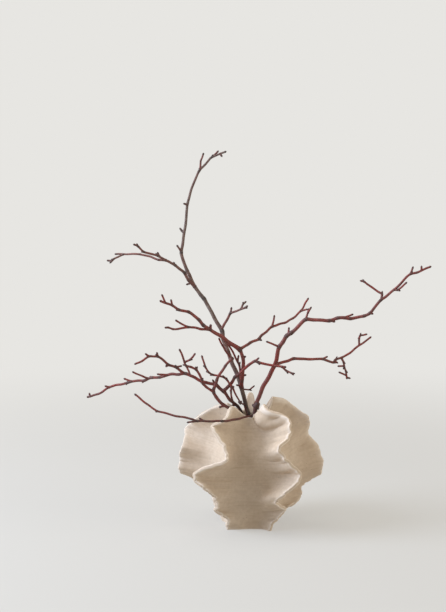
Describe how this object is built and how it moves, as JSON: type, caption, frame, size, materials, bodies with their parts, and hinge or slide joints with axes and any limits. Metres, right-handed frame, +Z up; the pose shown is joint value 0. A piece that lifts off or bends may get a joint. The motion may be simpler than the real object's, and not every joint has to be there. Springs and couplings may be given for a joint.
{
  "type": "ikebana arrangement",
  "caption": "Spare arrangement of bare red-brown winter branches in a matte beige stoneware vase with ruffled vertical fins and a narrow foot.",
  "frame": {"origin": "on the vase's axis, on the plane that its foot rests on", "axes": "+Z up, -Y towards the viewer that the branches are arranged for, +X to that viewer's right"},
  "size_m": [0.4708, 0.1925, 0.5186],
  "materials": {
    "stoneware": "matte unglazed stoneware with fine horizontal throwing lines",
    "grey_bark": "dull grey-brown bark, turning dark red on the younger shoots",
    "red_bark": "smooth dark red-brown bark, slightly satin"
  },
  "bodies": {
    "root": {"vase": "stoneware", "branch_tall": "grey_bark", "branch_right": "red_bark", "branch_left": "red_bark", "branch_short": "red_bark", "branch_low": "red_bark", "twig_curl": "red_bark"}
  },
  "joints": []
}
